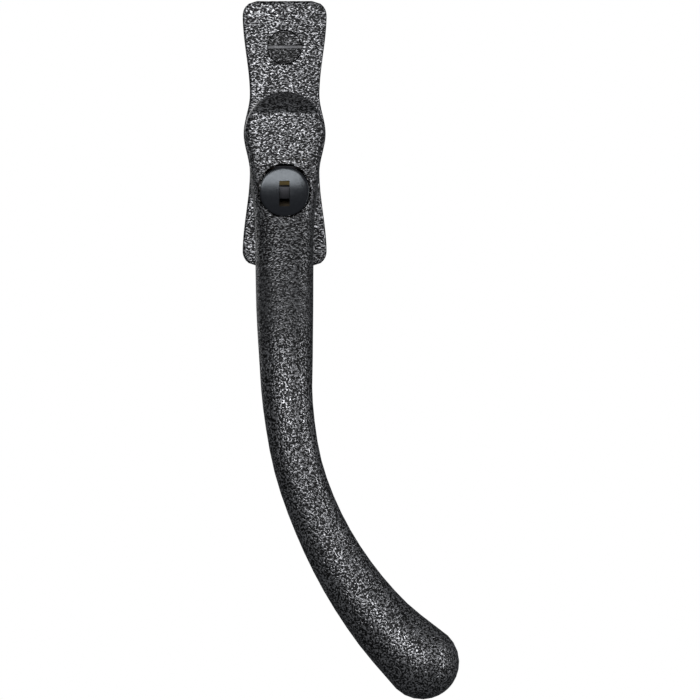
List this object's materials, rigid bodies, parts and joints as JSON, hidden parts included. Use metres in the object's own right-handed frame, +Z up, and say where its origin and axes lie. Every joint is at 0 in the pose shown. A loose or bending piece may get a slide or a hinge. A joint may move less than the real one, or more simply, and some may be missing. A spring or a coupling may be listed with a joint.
{
  "type": "locking casement window handle",
  "caption": "Locking espagnolette casement window handle: curved pear-ended lever with a push-button key lock on a waisted backplate, with a square spindle.",
  "frame": {"origin": "the spindle's axis where it meets the window, at the level of the backplate's back face", "axes": "+Z up the window, +Y into the window along the spindle, +X to the right as seen from the room; the lever hangs down along -Z and stands out along -Y"},
  "size_m": [0.054, 0.0812, 0.1742],
  "materials": {
    "textured_black": "satin",
    "textured_black_fixings": "satin",
    "gloss_black_cap": "gloss",
    "zinc_steel": "satin",
    "spring_steel": "satin",
    "brass": "satin",
    "acetal": "satin"
  },
  "bodies": {
    "base": {"backplate": "textured_black", "top_fixing_screw": "textured_black_fixings", "bottom_fixing_screw": "textured_black_fixings", "journal_bush": "acetal", "detent_spring_upper": "spring_steel", "detent_spring_lower": "spring_steel"},
    "lever": {"lever": "textured_black", "spindle": "zinc_steel", "spindle_roll_pin": "spring_steel", "wave_washer": "spring_steel", "detent_cam": "zinc_steel", "retaining_washer": "zinc_steel", "retaining_circlip": "spring_steel", "barrel_stop_pin": "zinc_steel", "barrel_return_spring": "spring_steel"},
    "barrel": {"lock_barrel": "brass", "lock_bolt": "zinc_steel", "latch_spring": "spring_steel"},
    "latch": {"barrel_latch": "zinc_steel"},
    "plug": {"key_plug": "brass", "plug_face_cap": "gloss_black_cap", "retaining_wafer": "brass", "wafer_1": "brass", "wafer_2": "brass"},
    "shutter": {"keyhole_shutter": "zinc_steel"}
  },
  "joints": [
    {"name": "lever_turn", "type": "hinge", "parent": "base", "child": "lever", "pos_m": [0, 0, 0], "axis": [0, -1, 0], "range_deg": [0, 90], "deforming": ["detent_spring_upper", "detent_spring_lower"]},
    {"name": "lock_push", "type": "slide", "parent": "lever", "child": "barrel", "axis": [0, 1, 0], "range_m": [0, 0.0035], "stiffness_N_per_m": 600, "deforming": ["barrel_return_spring"]},
    {"name": "key_turn", "type": "hinge", "parent": "barrel", "child": "plug", "pos_m": [0, -0.022, -0.0146], "axis": [0, 1, 0], "range_deg": [0, 90]},
    {"name": "latch_slide", "type": "slide", "parent": "barrel", "child": "latch", "axis": [0, 0, 1], "range_m": [0, 0.0015], "deforming": ["latch_spring"]},
    {"name": "shutter_swing", "type": "hinge", "parent": "plug", "child": "shutter", "pos_m": [0, -0.0247, -0.01325], "axis": [1, 0, 0], "range_deg": [0, 75], "stiffness_Nm_per_rad": 0.0001}
  ],
  "couplings": [
    {"joint": "latch_slide", "follows": "key_turn", "m_per_rad": 0.00095}
  ]
}
